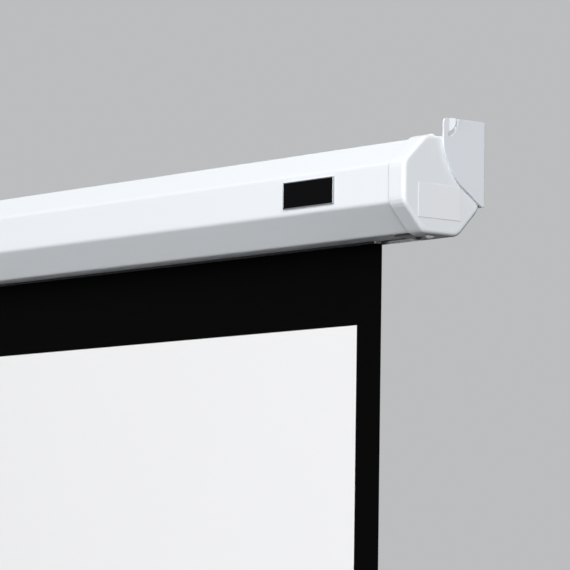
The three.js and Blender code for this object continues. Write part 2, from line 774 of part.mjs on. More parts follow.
function pullHandle() {
  const half = handleWidth / 2;
  const neck = handleNeckWidth / 2;
  const outline = [
    point(-half, -handleHeight), point(half, -handleHeight), point(half, -handleShoulderDrop),
    point(neck, -handleNeckDrop), point(neck, 0), point(-neck, 0),
    point(-neck, -handleNeckDrop), point(-half, -handleShoulderDrop),
  ];
  const grip = [
    point(handleFrame - half, handleFrame - handleHeight),
    point(half - handleFrame, handleFrame - handleHeight),
    point(half - handleFrame, -handleShoulderDrop),
    point(neck, -handleHoleDrop), point(-neck, -handleHoleDrop),
    point(handleFrame - half, -handleShoulderDrop),
  ];
  const y0 = -handleThickness / 2;
  const y1 = handleThickness / 2;
  const barrelHalf = earSpan / 2 - runningGap;
  return cut(
    join(
      prismY(rounded(outline, handleReach), y0, y1, handleEdgeRound),
      rodX(handleBarrelRadius, -barrelHalf, barrelHalf, 0, 0)),
    prismY(rounded(grip, handleHoleReach), y0 - overrun, y1 + overrun),
    rodX(handlePinRadius + runningGap, -half, half, 0, 0),
  ).translate(0, fabricPlaneY, pivotZ);
}

// Bare plate in a bright rim on the casing's front
const nameplateX = capFaceX - nameplateFromCapFace;
const nameplateOutline = rectangle(nameplateX - nameplateWidth, nameplateX,
  nameplateBottom, nameplateBottom + nameplateHeight);

function nameplateFrame() {
  const rear = casingInset - glueGap;
  return cut(
    prismY(new THREE.Shape(nameplateOutline), rear - nameplateRimHeight, rear),
    prismY(new THREE.Shape(inset(nameplateOutline, nameplateRim)),
      rear - nameplateRimHeight - overrun, rear + overrun));
}

function nameplate() {
  const rear = casingInset - glueGap;
  return prismY(new THREE.Shape(inset(nameplateOutline, nameplateRim + glueGap)),
    rear - nameplateThickness, rear);
}

const sticker = () => box(glueGap, glueGap + stickerThickness,
  stickerFrontY, stickerFrontY + stickerWidth, stickerBottom, stickerBottom + stickerHeight);

// The assembly
function node(name, geometry, material) {
  const mesh = new THREE.Mesh(geometry, material);
  mesh.name = name;
  return mesh;
}

function screenEnd(name, side, ...ownPieces) {
  const opening = side > 0 ? bushHole() : tangHole();
  const end = new THREE.Group();
  end.add(
    node(`end_cap_${name}`, endCap(), whiteEnamel),
    node(`wall_bracket_${name}`, wallBracket(), whiteBracket),
    node(`roller_holder_${name}`, rollerHolder(opening), zincSteel),
    node(`bracket_screw_lower_${name}`, bracketScrew(bracketScrewZs[0]), zincSteel),
    node(`bracket_screw_upper_${name}`, bracketScrew(bracketScrewZs[1]), zincSteel),
    node(`cap_screw_top_${name}`, topCapScrew(), whiteEnamel),
    node(`cap_screw_bottom_${name}`, bottomCapScrew(), zincSteel),
    node(`slot_end_plate_${name}`, slotEndPlate(), darkPlastic),
    node(`slot_plate_screw_${name}`, endPlateScrew(), blackSteel),
    ...ownPieces,
  );
  end.position.x = side * capFaceX;
  end.scale.x = side;
  return end;
}

const rightEnd = screenEnd('right', 1,
  node('gudgeon_bush', gudgeonBush(), nylon),
  node('gudgeon_pin', gudgeonPin(), zincSteel),
  node('roller_plug_right', rightPlug(), darkPlastic),
  node('sticker', sticker(), paper));

const leftEnd = screenEnd('left', -1,
  node('spindle', spindle(), zincSteel),
  node('ratchet_wheel', ratchetWheel(), zincSteel),
  node('roller_plug_left', leftPlug(), darkPlastic),
  node('pawl_upper', pawl(0), zincSteel),
  node('pawl_lower', pawl(1), zincSteel),
  node('pawl_pin_upper', pawlPin(0), zincSteel),
  node('pawl_pin_lower', pawlPin(1), zincSteel),
  node('torsion_spring', torsionSpring(), springSteel),
  node('spring_anchor', collar(anchorRadius, anchorDepth, anchorLength,
    spindleRadius + seatGap), zincSteel),
  node('shaft_guide', collar(plugRadius, guideDepth, guideLength,
    spindleRadius + runningGap), nylon));

const screen = new THREE.Group();
screen.add(rightEnd, leftEnd,
  node('casing', casing(), whiteEnamel),
  node('slot_guard', slotGuard(), darkPlastic),
  node('guard_end_right', guardEnd(1), nylon),
  node('guard_end_left', guardEnd(-1), nylon),
  node('slot_rail', slotRail(), brightRail),
  node('roller_tube', rollerTube(), zincSteel),
  node('leader_wraps', leaderWraps(), blackCloth),
  node('screen_fabric', screenFabric(), screenCloth),
  node('fabric_hem', fabricHem(), blackCloth),
  node('hem_rod', hemRod(), zincSteel),
  node('weight_bar', weightBar(), blackBar),
  node('handle_mount', handleMount(), zincSteel),
  node('mount_screw_right', mountScrew(1), zincSteel),
  node('mount_screw_left', mountScrew(-1), zincSteel),
  node('handle_pin', handlePin(), zincSteel),
  node('pull_handle', pullHandle(), blackBar),
  node('nameplate_rim', nameplateFrame(), silverRim),
  node('nameplate', nameplate(), blackGloss));

[['right', 1], ['left', -1]].forEach(([name, side]) => {
  const pair = new THREE.Group();
  pair.add(
    node(`bar_cap_${name}`, barCap(), darkPlastic),
    node(`stop_pad_${name}`, stopPad(), rubber));
  pair.scale.x = side;
  screen.add(pair);
});

screen.position.set(0, -wallPlaneY, -wallScrewZ);

export default screen;
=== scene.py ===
"""Dresses a packed manual pull-down projector screen for rendering.

X runs along the casing, +Y points into the wall, +Z up, in metres. The solids keep their
places. Cloth, screws and the winding spring are made here and every surface gets its finish.
"""

import json
import math

import bmesh
import bpy
from bpy.props import FloatProperty, FloatVectorProperty, IntProperty, PointerProperty
from mathutils import Matrix, Vector


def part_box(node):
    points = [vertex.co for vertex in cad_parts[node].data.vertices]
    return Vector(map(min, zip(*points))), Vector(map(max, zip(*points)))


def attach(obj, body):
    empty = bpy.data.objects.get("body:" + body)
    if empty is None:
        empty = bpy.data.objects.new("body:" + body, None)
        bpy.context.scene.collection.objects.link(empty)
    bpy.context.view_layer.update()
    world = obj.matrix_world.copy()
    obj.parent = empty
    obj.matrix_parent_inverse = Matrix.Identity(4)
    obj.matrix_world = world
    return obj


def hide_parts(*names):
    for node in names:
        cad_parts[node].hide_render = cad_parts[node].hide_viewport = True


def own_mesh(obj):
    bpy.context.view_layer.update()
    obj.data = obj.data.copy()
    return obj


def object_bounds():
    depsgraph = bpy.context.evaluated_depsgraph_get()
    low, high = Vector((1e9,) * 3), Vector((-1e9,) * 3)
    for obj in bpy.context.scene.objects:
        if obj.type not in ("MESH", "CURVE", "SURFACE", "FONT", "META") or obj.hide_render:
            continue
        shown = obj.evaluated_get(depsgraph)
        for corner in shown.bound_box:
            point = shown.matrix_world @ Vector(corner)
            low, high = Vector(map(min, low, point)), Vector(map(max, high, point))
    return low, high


bl_info = {
    "name": "Pull-down projector screen",
    "version": (1, 0, 0),
    "blender": (4, 5, 0),
    "location": "View3D > Sidebar > Screen",
    "description": "Dresses a manual pull-down projector screen with its cloth, screws and finishes",
    "category": "Object",
}

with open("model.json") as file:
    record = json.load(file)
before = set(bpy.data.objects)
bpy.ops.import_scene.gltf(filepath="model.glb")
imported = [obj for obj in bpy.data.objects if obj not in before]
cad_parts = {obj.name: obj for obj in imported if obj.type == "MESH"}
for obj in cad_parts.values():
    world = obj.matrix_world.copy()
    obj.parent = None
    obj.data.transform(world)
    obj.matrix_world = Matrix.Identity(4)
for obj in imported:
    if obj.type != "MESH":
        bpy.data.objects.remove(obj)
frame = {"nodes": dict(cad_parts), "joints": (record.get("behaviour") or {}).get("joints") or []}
cad_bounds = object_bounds()
SIDES = ("right", "left")


def middle(node, axis):
    """The middle of a solid's box along one axis."""
    low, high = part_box(node)
    return (low[axis] + high[axis]) / 2


def span(node, axis):
    """The length of a solid's box along one axis."""
    low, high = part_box(node)
    return high[axis] - low[axis]


# Settings


def setting(kind, **fixed):
    """A function that makes settings of one kind, in metres, radians, watts or linear light."""

    def make(name, default, description):
        return kind(name=name, description=description, default=default, **fixed)

    return make


number = setting(FloatProperty)
whole = setting(IntProperty, min=2)
length = setting(FloatProperty, min=0, unit="LENGTH", precision=5)
share = setting(FloatProperty, min=0, max=1, subtype="FACTOR")
angle = setting(FloatProperty, subtype="ANGLE")
power = setting(FloatProperty, min=0, unit="POWER")
spot = setting(FloatVectorProperty, unit="LENGTH", subtype="TRANSLATION")
tint = setting(FloatVectorProperty, size=3, min=0, max=1, subtype="COLOR")


class SheetSettings(bpy.types.PropertyGroup):
    """Sizes and colours of the projection sheet."""

    picture_width: length("Picture width", 1.86, "Width of the white picture area")
    picture_height: length("Picture height", 1.046, "Height of the white picture area")
    top_border: length("Black above picture", 0.105, "From the roller to the picture")
    border_blur: length("Border edge", 0.0004, "Width over which white turns black")
    ripple: length("Ripple", 0.00025, "How far the sheet leaves its plane")
    ripple_span: length("Ripple span", 0.62, "Distance from one ripple to the next")
    ripple_lean: number("Ripple lean", 3.0, "Radians that the ripple shifts in a metre of height")
    emboss: length("Emboss pitch", 0.0011, "Pitch of the sheet's fine surface grain")
    weld_height: length("Weld height", 0.012, "From the sheet's lower end to its weld line")
    weld_half: length("Weld line", 0.001, "From the middle of the weld line to its edge")
    weld_blur: length("Weld edge", 0.0006, "Width over which the weld line fades out")
    hem_gap: length("Hem gap", 0.0003, "Room between the hem and its rod")
    columns: whole("Columns", 96, "Mesh cells across")
    rows: whole("Rows", 60, "Mesh cells down")
    white: tint("Sheet white", (0.84, 0.84, 0.85), "Colour of the picture area")
    black: tint("Sheet black", (0.0012, 0.0012, 0.0012), "Colour of the border")
    backing: tint("Backing", (0.009, 0.009, 0.0096), "Colour of the back, hem and leader")


class CasingSettings(bpy.types.PropertyGroup):
    """Finish of the casing, its caps and brackets."""

    enamel: tint("Enamel", (0.812, 0.842, 0.875), "Powder coat of the casing and caps")
    bracket: tint("Bracket enamel", (0.772, 0.802, 0.85), "Powder coat of the wall brackets")
    peel: length("Orange peel", 0.0016, "Size of the coat's fine dimples")
    peel_depth: length("Peel depth", 0.000012, "Depth of the coat's fine dimples")
    edge: length("Coat edge", 0.0006, "Radius that the coat gives to every edge")
    worn_edge: length("Worn edge", 0.00096, "Width of the strip that is rubbed along an edge")
    cap_edge: length("Cap edge", 0.0016, "Radius of the soft edges of the moulded caps")
    gloss: share("Coat roughness", 0.56, "Roughness of the powder coat")


class HardwareSettings(bpy.types.PropertyGroup):
    """Sizes of screws and spring, and colours of bare metals and plastics."""

    recess_width: length("Recess width", 0.0009, "Width of each arm of a screw's cross")
    recess_depth: length("Recess depth", 0.0011, "Depth of a screw's cross")
    recess_reach: share("Recess reach", 0.62, "Length of the cross, of the head's width")
    cap_screw: length("Cap screw", 0.0019, "Radius of the thread of the caps' screws")
    cap_screw_head: length("Cap screw head", 0.0021, "Height of the caps' screw heads")
    small_screw: length("Small screw", 0.0014, "Radius of the thread of the small screws")
    small_screw_head: length("Small screw head", 0.0015, "Height of the small screw heads")
    spring_turns: whole("Spring turns", 24, "Turns of wire")
    wire: length("Spring wire", 0.0011, "Radius of the spring's wire")
    leader_turns: number("Leader turns", 1.2, "Turns of cloth that stay on the roller")
    cloth: length("Cloth thickness", 0.00045, "Thickness of the leader on the roller")
    zinc: tint("Zinc", (0.56, 0.57, 0.59), "Plated steel")
    spangle: tint("Spangle", (0.7, 0.68, 0.6), "Cast of the plating's grains")
    # Black of the end plates' screws: painted shade under the casing
    black_steel: tint("Black steel", (0.03, 0.03, 0.031), "Blackened screws")
    rail: tint("Rail", (0.84, 0.85, 0.87), "Bright rail behind the sheet")
    rail_worn: tint("Worn rail", (0.9, 0.9, 0.91), "The rail where it is rubbed")
    wire_colour: tint("Spring steel", (0.19, 0.2, 0.21), "Oiled spring wire")
    nylon: tint("Nylon", (0.8, 0.79, 0.75), "Natural nylon")
    # The same dark colour is painted shade on the end plates under the slot
    dark: tint("Dark plastic", (0.012, 0.012, 0.013), "Moulded guards, plugs and bar ends")


class BarSettings(bpy.types.PropertyGroup):
    """Finish of the bottom bar, the handle, the plate and the sticker."""

    bar: tint("Bar", (0.018, 0.0185, 0.02), "Anodised bottom bar")
    bar_worn: tint("Worn bar", (0.09, 0.09, 0.095), "The bottom bar where it is rubbed")
    handle: tint("Handle", (0.02, 0.02, 0.022), "Moulded pull handle")
    rubber: tint("Rubber", (0.014, 0.014, 0.014), "Stop pads")
    plate: tint("Plate", (0.0015, 0.0015, 0.0018), "Bare glossy plate on the casing")
    rim: tint("Plate rim", (0.42, 0.43, 0.45), "Bright rim round the plate")
    sticker: tint("Sticker", (0.855, 0.875, 0.905), "Bare sticker on the end cap")


class StageSettings(bpy.types.PropertyGroup):
    """Camera, lamps and floor."""

    camera_place: spot("Camera place", (3.1177, -1.8986, -0.4011), "Where the camera stands")
    yaw: angle("Yaw", math.radians(50.751), "Camera turn from square on")
    pitch: angle("Pitch", math.radians(5.634), "Camera tilt upwards")
    roll: angle("Roll", math.radians(-0.886), "Camera turn about its own line of sight")
    lens: number("Lens", 221.05, "Focal length in millimetres")
    floor_drop: length("Floor drop", 1.0, "From the lowest point of the screen to the floor")
    floor_fade: length("Floor fade", 2.6, "From the middle to where the floor starts to fade")
    floor: tint("Floor", (0.56, 0.565, 0.57), "Colour of the floor")
    floor_bounce: share("Floor bounce", 0.04, "How much of its colour the floor throws back up")
    backdrop: tint("Backdrop", (0.5, 0.51, 0.52), "What the camera sees behind the screen")
    ambient: share("Ambient", 0.28, "Light from above and around")
    ambient_below: share("Ambient below", 0.02, "Light from below")
    aim: spot("Lamps' aim", (0.3, 0, -0.4), "What the lamps point at")
    key_place: spot("Key lamp", (8.7, -6.5, 4.3), "Where the key lamp stands")
    key_size: length("Key size", 6.0, "Width of the key lamp")
    key_power: power("Key power", 1130, "Power of the key lamp")
    front_place: spot("Front lamp", (1.6, -9.2, 1.2), "Where the front lamp stands")
    front_size: length("Front size", 5.0, "Width of the front lamp")
    front_power: power("Front power", 400, "Power of the front lamp")
    rear_place: spot("Rear lamp", (-5.5, 8.2, 5.2), "Where the rear lamp stands")
    rear_size: length("Rear size", 6.0, "Width of the rear lamp")
    rear_power: power("Rear power", 640, "Power of the rear lamp")


# Node boards

# The Mix node tells its sockets for colours apart by their numbers alone
MIX_FACTOR, MIX_FIRST, MIX_SECOND, MIX_RESULT = 0, 6, 7, 2
# So does the Random Value node, for numbers with a fraction
RANDOM_LOW, RANDOM_HIGH, RANDOM_RESULT = 2, 3, 1
# Rays for each sample of a rounded edge, and how soon a bent normal counts as an edge
BEVEL_SAMPLES = 6
EDGE_GAIN = 6


class Socket:
    """A node's output whose arithmetic adds Math nodes."""

    def __init__(self, board, link):
        self.board = board
        self.link = link

    def math(self, operation, *values, clamp=False):
        sockets = dict(enumerate(values))
        return self.board.add("ShaderNodeMath", sockets, operation=operation, use_clamp=clamp)

    def __add__(self, other):
        return self.math("ADD", self, other)

    __radd__ = __add__

    def __sub__(self, other):
        return self.math("SUBTRACT", self, other)

    def __rsub__(self, other):
        return self.math("SUBTRACT", other, self)

    def __mul__(self, other):
        return self.math("MULTIPLY", self, other)

    __rmul__ = __mul__

    def __truediv__(self, other):
        return self.math("DIVIDE", self, other)

    def __rtruediv__(self, other):
        return self.math("DIVIDE", other, self)

    def __abs__(self):
        return self.math("ABSOLUTE", self)

    def most(self, other):
        return self.math("MAXIMUM", self, other)

    def wave(self, pitch):
        """A wave that goes from 0 to 1 and back once in each pitch."""
        return self.math("SINE", self * (2 * math.pi / pitch)) * 0.5 + 0.5

    def clamped(self):
        return self.math("ADD", self, 0, clamp=True)


class Board:
    """The node tree of a material, the world or a shape."""

    def __init__(self, tree):
        self.tree = tree
        tree.nodes.clear()

    def add(self, kind, sockets=None, output=0, **settings):
        """Adds a node with its settings first, then its sockets' values or links."""
        node = self.tree.nodes.new(kind)
        for name, value in settings.items():
            setattr(node, name, value)
        for name, value in (sockets or {}).items():
            if isinstance(value, Socket):
                self.tree.links.new(value.link, node.inputs[name])
            else:
                node.inputs[name].default_value = value
        if not node.outputs:
            return None
        return Socket(self, node.outputs[output])

    def parts(self, vector):
        """The X, Y and Z of a vector."""
        split = self.add("ShaderNodeSeparateXYZ", {"Vector": vector})
        return [Socket(self, output) for output in split.link.node.outputs]

    def mix(self, factor, first, second):
        """A colour between two others."""
        sockets = {MIX_FACTOR: factor, MIX_FIRST: first, MIX_SECOND: second}
        return self.add("ShaderNodeMix", sockets, MIX_RESULT, data_type="RGBA")

    def shades(self, factor, tone, low, high):
        """A colour that runs from one copy of a tone to another, each darker or lighter."""
        return self.mix(factor, colour(shaded(tone, low)), colour(shaded(tone, high)))

    def place(self, scale=(1, 1, 1)):
        """A point of the piece, stretched for a pattern."""
        point = self.add("ShaderNodeTexCoord", output="Object")
        return self.add("ShaderNodeMapping", {"Vector": point, "Scale": scale})

    def noise(self, grains, detail=2, stretch=(1, 1, 1), where=None):
        """Soft noise from 0 to 1 with that many grains to the metre."""
        sockets = {"Vector": where or self.place(stretch), "Scale": grains, "Detail": detail}
        return self.add("ShaderNodeTexNoise", sockets)

    def ramp(self, value, low, high):
        """0 up to the low value, 1 from the high one on, and straight between them."""
        made = self.add("ShaderNodeValToRGB", {"Fac": value})
        for element, place in zip(made.link.node.color_ramp.elements, (low, high)):
            element.position = place
        return made

    def round_edges(self, radius):
        """A normal that rounds every edge by that radius."""
        return self.add("ShaderNodeBevel", {"Radius": radius}, samples=BEVEL_SAMPLES)

    def rubbed(self, radius, grains, detail, low, high):
        """1 along edges where noise passes the high value, 0 where it stays under the low."""
        normals = {0: self.round_edges(radius)}
        normals[1] = self.add("ShaderNodeNewGeometry", output="True Normal")
        same = self.add("ShaderNodeVectorMath", normals, "Value", operation="DOT_PRODUCT")
        edges = ((1 - same) * EDGE_GAIN).clamped()
        return edges * self.ramp(self.noise(grains, detail), low, high)

    def bump(self, height, depth, edge=0):
        """A normal from a height from 0 to 1 of that depth, on edges rounded by a radius."""
        sockets = {"Height": height, "Distance": depth}
        if edge:
            sockets["Normal"] = self.round_edges(edge)
        return self.add("ShaderNodeBump", sockets)

    def seen(self):
        """1 for rays that show a thing: straight, mirrored or through something clear."""
        rays = ("Is Camera Ray", "Is Glossy Ray", "Is Transmission Ray")
        straight, mirrored, through = [self.add("ShaderNodeLightPath", output=ray) for ray in rays]
        return straight.most(mirrored).most(through)


def colour(value):
    """A linear colour with full alpha."""
    return (*value, 1.0)


def shaded(value, factor):
    """A darker or lighter copy of a colour."""
    return tuple(min(1.0, part * factor) for part in value)


MATERIALS = {}


def material(name, build, *values, **named):
    """Makes a material once; build returns what goes into the surface's sockets."""
    if name not in MATERIALS:
        made = bpy.data.materials.new(name)
        made.use_nodes = True
        board = Board(made.node_tree)
        surface = board.add("ShaderNodeBsdfPrincipled", build(board, *values, **named), "BSDF")
        board.add("ShaderNodeOutputMaterial", {"Surface": surface})
        MATERIALS[name] = made
    return MATERIALS[name]


# Finishes

# A finish's roughness starts with the smooth surface's, and each pattern adds its own share


def powder_coat(board, tone, casing, edge):
    """Powder coat: fine orange peel, faint cloudiness, soft edges."""
    worn = board.rubbed(casing.worn_edge, grains=90, detail=4, low=0.52, high=0.7)
    body = board.shades(board.noise(grains=7, detail=3), tone, low=0.985, high=1)
    patch = board.noise(grains=38, detail=3)
    return {
        "Base Color": board.mix(worn * 0.12, body, colour(shaded(tone, 0.8))),
        "Roughness": casing.gloss - 0.04 + 0.08 * patch + 0.06 * worn,
        "Normal": board.bump(board.noise(grains=1 / casing.peel), casing.peel_depth, edge),
        "Specular IOR Level": 0.12,
    }


def plated_steel(board, tone, spangle, line_ways=(1, 1, 1), edge=0.0003):
    """Zinc plate: faint spangle over fine rolling lines, a little duller in patches."""
    sockets = {"Vector": board.place(), "Scale": 420}
    cells = board.add("ShaderNodeTexVoronoi", sockets, "Color")
    level = board.add("ShaderNodeRGBToBW", {"Color": cells})
    patch = board.noise(grains=60, detail=4)
    body = board.shades(patch, tone, low=0.82, high=1.1)
    lines = board.noise(grains=900, stretch=line_ways)
    return {
        "Base Color": board.mix(level * 0.12, body, colour(spangle)),
        "Metallic": 1.0,
        "Roughness": 0.27 + 0.1 * patch + 0.06 * level,
        "Normal": board.bump(lines, depth=4e-6, edge=edge),
    }


def drawn_metal(board, tone, worn_tone, roughness, metallic):
    """Metal drawn along X: long fine lines, edges rubbed brighter."""
    lines = board.noise(grains=1400, stretch=(0.012, 1, 1))
    rubbed = board.rubbed(0.0007, grains=70, detail=4, low=0.45, high=0.7)
    haze = board.noise(grains=9, detail=4)
    body = board.shades(haze, tone, low=0.85, high=1.1)
    return {
        "Base Color": board.mix(rubbed * 0.5, body, colour(worn_tone)),
        "Metallic": metallic,
        "Roughness": roughness + 0.1 * lines + 0.05 * haze,
        "Normal": board.bump(lines, depth=5e-6, edge=0.0004),
    }


def spring_wire(board, tone):
    """Oiled wire, streaked along its length."""
    streak = board.noise(grains=260, detail=4)
    return {
        "Base Color": board.shades(streak, tone, low=0.7, high=1.3),
        "Metallic": 1.0,
        "Roughness": 0.26 + 0.2 * streak,
        "Normal": board.bump(board.noise(grains=1200), depth=6e-6),
    }


def moulded_plastic(board, tone, roughness, grain, edge):
    """Fine spark-eroded grain with lightly rubbed edges."""
    cells = board.noise(grains=1 / grain, detail=3)
    rubbed = board.rubbed(edge, grains=110, detail=3, low=0.5, high=0.75)
    body = board.shades(board.noise(grains=15, detail=3), tone, low=0.88, high=1.12)
    return {
        "Base Color": board.mix(rubbed * 0.3, body, colour(shaded(tone, 2.4))),
        "Roughness": roughness + 0.08 * cells - 0.12 * rubbed,
        "Normal": board.bump(cells, depth=2.5e-5, edge=edge),
    }


def soft_rubber(board, tone):
    """Dull rubber with a faint bloom."""
    bloom = board.ramp(board.noise(grains=130, detail=5), low=0.4, high=0.8)
    return {
        "Base Color": board.shades(bloom * 0.35, tone, low=1, high=4),
        "Roughness": 0.78 + 0.12 * bloom,
        "Normal": board.bump(board.noise(grains=900, detail=3), depth=2e-5, edge=0.0005),
        "Specular IOR Level": 0.4,
    }


def gloss_plate(board, tone):
    """Polished plate with a trace of fine scratches."""
    lines = board.noise(grains=1600, stretch=(0.03, 1, 1))
    scratch = board.ramp(lines, low=0.66, high=0.72)
    return {
        "Base Color": board.shades(board.noise(grains=30), tone, low=1, high=1.6),
        "Roughness": 0.1 + 0.05 * board.noise(grains=45, detail=3) + 0.1 * scratch,
        "Normal": board.bump(scratch, depth=1e-6, edge=0.0003),
        "Specular IOR Level": 0.04,
    }


def bright_rim(board, tone):
    """Bright bevelled metal."""
    lines = board.noise(grains=1500, stretch=(0.05, 1, 1))
    return {
        "Base Color": board.shades(lines, tone, low=0.9, high=1.1),
        "Metallic": 1.0,
        "Roughness": 0.15 + 0.08 * lines,
        "Normal": board.bump(lines, depth=2e-6, edge=0.0005),
    }


def sticker_stock(board, tone):
    """Coated paper with faint fibres."""
    fibre = board.noise(grains=700, detail=5, stretch=(1, 1, 2.5))
    return {
        "Base Color": board.shades(fibre, tone, low=0.965, high=1),
        "Roughness": 0.5 + 0.12 * fibre,
        "Normal": board.bump(fibre, depth=3e-6),
        "Specular IOR Level": 0.4,
    }


def cloth_grain(board, sheet):
    """Where a point lies on the cut sheet, and the weave under the coat from 0 to 1."""
    where = board.add("ShaderNodeUVMap", uv_map="cut")
    across, down, _ = board.parts(where)
    weave = across.wave(sheet.emboss) * down.wave(sheet.emboss)
    coat = board.noise(grains=1 / sheet.emboss, detail=3, where=where)
    return where, across, down, 0.6 * weave + 0.4 * coat


def inside(distance, blur):
    """1 where a distance is above nothing, with a soft step."""
    return (distance / blur + 0.5).clamped()


def sheet_front(board, sheet, top, bottom):
    """Matt white picture area in a black border, drawn on the sheet's own map."""
    where, across, down, grain = cloth_grain(board, sheet)
    picture_top = top - sheet.top_border
    picture_bottom = picture_top - sheet.picture_height
    white = (
        inside(sheet.picture_width / 2 - abs(across), sheet.border_blur)
        * inside(picture_top - down, sheet.border_blur)
        * inside(down - picture_bottom, sheet.border_blur)
    )
    from_weld = abs(down - (bottom + sheet.weld_height))
    weld = inside(sheet.weld_half - from_weld, sheet.weld_blur)
    cloud = board.noise(grains=5, detail=3, where=where)
    pale = board.shades(cloud, sheet.white, low=0.985, high=1)
    dark = board.shades(grain, sheet.black, low=0.7, high=1.6)
    return {
        "Base Color": board.mix(white, dark, pale),
        "Roughness": 0.86 + 0.05 * grain,
        "Normal": board.bump(grain + 4 * weld, depth=1.2e-5),
        "Specular IOR Level": 0.03,
    }


def black_cloth(board, sheet):
    """Matt black coated cloth on its own map."""
    grain = cloth_grain(board, sheet)[-1]
    return {
        "Base Color": board.shades(grain, sheet.backing, low=0.75, high=1.5),
        "Roughness": 0.82 + 0.1 * grain,
        "Normal": board.bump(grain, depth=2e-5),
        "Specular IOR Level": 0.12,
    }


def enamel(scene):
    """White coat of the casing and the screws in its caps."""
    casing = scene.screen_casing
    return material("white_enamel", powder_coat, casing.enamel, casing, edge=casing.edge)


def zinc(scene):
    """Zinc-plated steel."""
    hardware = scene.screen_hardware
    return material("zinc_steel", plated_steel, hardware.zinc, hardware.spangle)


def black_steel(scene):
    """Black steel of the small screws under the casing, made dark as painted shade there."""
    tone = scene.screen_hardware.black_steel
    worn = shaded(tone, 3)
    return material("black_steel", drawn_metal, tone, worn, roughness=0.4, metallic=0.8)


def nylon(scene):
    """Natural nylon of the bushes and the guard's ends."""
    tone = scene.screen_hardware.nylon
    return material("nylon", moulded_plastic, tone, roughness=0.45, grain=0.0007, edge=0.0004)


def dark_plastic(scene):
    """Dark plastic of the guard, the plugs and the bar's ends, and painted shade on the end plates
    under the slot.
    """
    tone = scene.screen_hardware.dark
    return material("dark_plastic", moulded_plastic, tone, roughness=0.5, grain=0.0006, edge=0.0004)


def cloth(scene):
    """Black cloth of the sheet's back, its hem and the leader."""
    return material("black_cloth", black_cloth, scene.screen_sheet)


# Meshes


def dress(finish, *nodes):
    """Gives solids their finish."""
    for node in nodes:
        piece = frame["nodes"][node]
        piece.data.materials.clear()
        piece.data.materials.append(finish)


def both(name):
    """A name at each end."""
    return [f"{name}_{side}" for side in SIDES]


def piece_from(name, mesh):
    """A linked object for a mesh."""
    piece = bpy.data.objects.new(name, mesh)
    bpy.context.scene.collection.objects.link(piece)
    return piece


def built(name, build, *materials):
    """A linked object from the faces in a build, which is freed."""
    mesh = bpy.data.meshes.new(name)
    build.to_mesh(mesh)
    build.free()
    for entry in materials:
        mesh.materials.append(entry)
    return piece_from(name, mesh)


def steps(start, end, count):
    """Even steps from start to end, with both of them."""
    return [start + (end - start) * i / count for i in range(count + 1)]


def quad(build, layer, corners, places):
    """A face with its four places on the cut."""
    face = build.faces.new(corners)
    for loop, place in zip(face.loops, places):
        loop[layer].uv = place
    return face


def skin(name, rows, cut, finish_of, materials):
    """A closed wall from rows of points joined into a ring, its ends in the last material."""
    build = bmesh.new()
    layer = build.loops.layers.uv.new("cut")
    grid = [[build.verts.new(point) for point in row] for row in rows]
    total = len(grid)
    for r in range(total):
        upper, lower = grid[r], grid[(r + 1) % total]
        for c in range(len(upper) - 1):
            corners = (upper[c], upper[c + 1], lower[c + 1], lower[c])
            places = (cut(r, c), cut(r, c + 1), cut(r + 1, c + 1), cut(r + 1, c))
            quad(build, layer, corners, places).material_index = finish_of(r)
    for column in (0, len(grid[0]) - 1):
        for r in range(total // 2 - 1):
            corners = (r, r + 1, total - 2 - r, total - 1 - r)
            face = build.faces.new([grid[i][column] for i in corners])
            face.material_index = len(materials) - 1
    bmesh.ops.recalc_face_normals(build, faces=build.faces)
    return built(name, build, *materials)


# Shape trees

# Mesh cells round a screw's head, over its top, round its shank and round a wire
HEAD_SEGMENTS, HEAD_RINGS, SHANK_SIDES, WIRE_SIDES = 28, 16, 20, 10
# How much of a screw head's height its shank reaches into
SHANK_IN_HEAD = 0.4
# Picks how far each screw is turned
TWIST_SEED = 7


def shape_tree(name, inputs):
    """A geometry tree with named inputs, and its input sockets by name."""
    tree = bpy.data.node_groups.new(name, "GeometryNodeTree")
    board = Board(tree)
    tree.interface.new_socket("Geometry", in_out="INPUT", socket_type="NodeSocketGeometry")
    for label, kind in inputs.items():
        tree.interface.new_socket(label, in_out="INPUT", socket_type="NodeSocket" + kind)
    tree.interface.new_socket("Geometry", in_out="OUTPUT", socket_type="NodeSocketGeometry")
    entry = board.add("NodeGroupInput").link.node
    return board, {output.name: Socket(board, output) for output in entry.outputs}


def close_tree(board, shape, finish):
    """Ends a tree with real geometry in its material."""
    real = board.add("GeometryNodeRealizeInstances", {"Geometry": shape})
    done = board.add("GeometryNodeSetMaterial", {"Geometry": real, "Material": finish})
    board.add("NodeGroupOutput", {"Geometry": done})
    return board.tree


def grow(name, tree, values, points=((0, 0, 0),), facing=(0, 0, 1)):
    """Runs a tree on points that face one way and returns the result as a plain piece."""
    seed = bpy.data.meshes.new(name + "_points")
    seed.from_pydata(points, [], [])
    attribute = seed.attributes.new("facing", "FLOAT_VECTOR", "POINT")
    for entry in attribute.data:
        entry.vector = facing
    carrier = piece_from(name + "_carrier", seed)
    modifier = carrier.modifiers.new("shape", "NODES")
    modifier.node_group = tree
    for item in tree.interface.items_tree:
        if item.in_out == "INPUT" and item.name in values:
            modifier[item.identifier] = values[item.name]
    evaluated = carrier.evaluated_get(bpy.context.evaluated_depsgraph_get())
    mesh = bpy.data.meshes.new_from_object(evaluated)
    bpy.data.objects.remove(carrier)
    if len(mesh.polygons) == 0:
        raise RuntimeError(f"the tree for {name} made no faces")
    mesh.name = name
    return piece_from(name, mesh)


